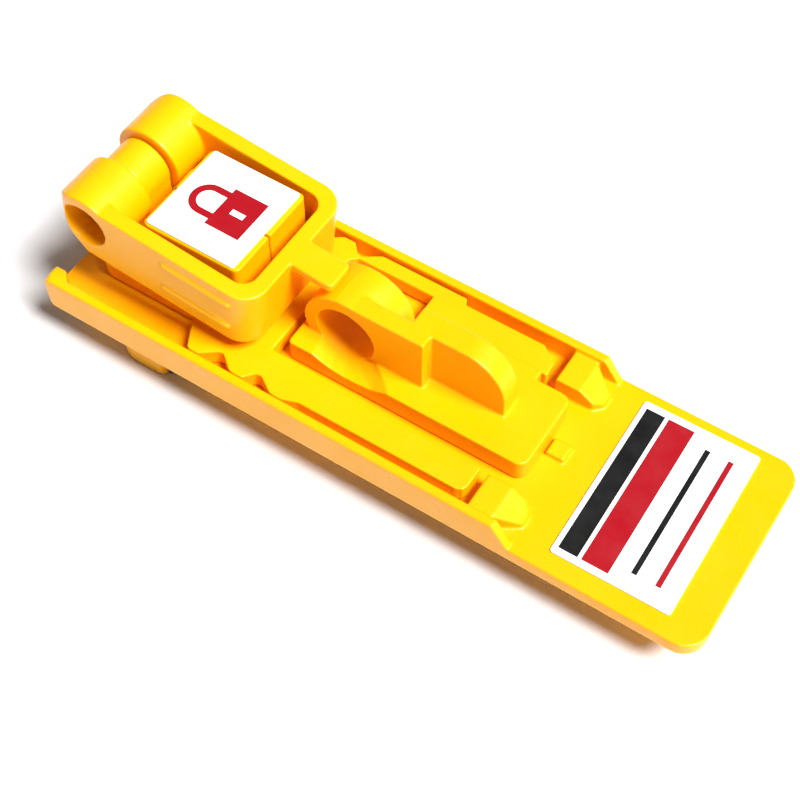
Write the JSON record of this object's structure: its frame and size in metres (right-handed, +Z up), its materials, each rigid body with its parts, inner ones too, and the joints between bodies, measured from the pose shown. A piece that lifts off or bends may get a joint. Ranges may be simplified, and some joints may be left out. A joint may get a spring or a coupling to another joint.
{
  "type": "lockout hasp",
  "caption": "Clamp-on breaker lockout: a tray with a label paddle, a sliding toothed carriage, a padlock ring on a fin, and a box-shaped lever frame hinged over a square block.",
  "frame": {"origin": "centre of the overall box in plan, at the level of the jaw soles", "axes": "+X from the hinge end to the label paddle, along the tray; +Z up, out of the tray's open side"},
  "size_m": [0.1338, 0.041, 0.0368],
  "materials": {
    "yellow_nylon": "moulded, satin gloss",
    "label_film": "printed film",
    "pad_rubber": "matt",
    "plated_steel": "zinc plated"
  },
  "bodies": {
    "tray_body": {"tray": "yellow_nylon", "paddle_label": "label_film", "fixed_jaw": "yellow_nylon", "fixed_jaw_pad": "pad_rubber", "lock_body": "yellow_nylon", "stop_pin_near": "plated_steel", "stop_pin_far": "plated_steel", "body_screw_1": "plated_steel", "body_screw_2": "plated_steel"},
    "carriage": {"carriage_plate": "yellow_nylon", "hinge_post": "yellow_nylon", "block_near": "yellow_nylon", "block_far": "yellow_nylon", "block_label": "label_film", "hinge_pin": "plated_steel", "pin_cap_near": "yellow_nylon", "pin_cap_far": "yellow_nylon", "carriage_screw_1": "plated_steel", "carriage_screw_2": "plated_steel", "carriage_screw_3": "plated_steel", "carriage_screw_4": "plated_steel"},
    "lever": {"lever_frame": "yellow_nylon"},
    "jaw": {"moving_jaw": "yellow_nylon", "moving_jaw_pad": "pad_rubber", "jaw_keeper": "plated_steel", "keeper_screw": "plated_steel"}
  },
  "joints": [
    {"name": "carriage_slide", "type": "slide", "parent": "tray_body", "child": "carriage", "axis": [1, 0, 0], "range_m": [-0.013, 0.001]},
    {"name": "lever_hinge", "type": "hinge", "parent": "carriage", "child": "lever", "pos_m": [-0.0589, 0, 0.03], "axis": [0, -1, 0], "range_deg": [0, 100]},
    {"name": "jaw_draw", "type": "slide", "parent": "carriage", "child": "jaw", "axis": [1, 0, 0], "range_m": [-0.002, 0]}
  ],
  "couplings": [
    {"joint": "lever_hinge", "follows": "jaw_draw", "rad_per_m": -872.66}
  ]
}
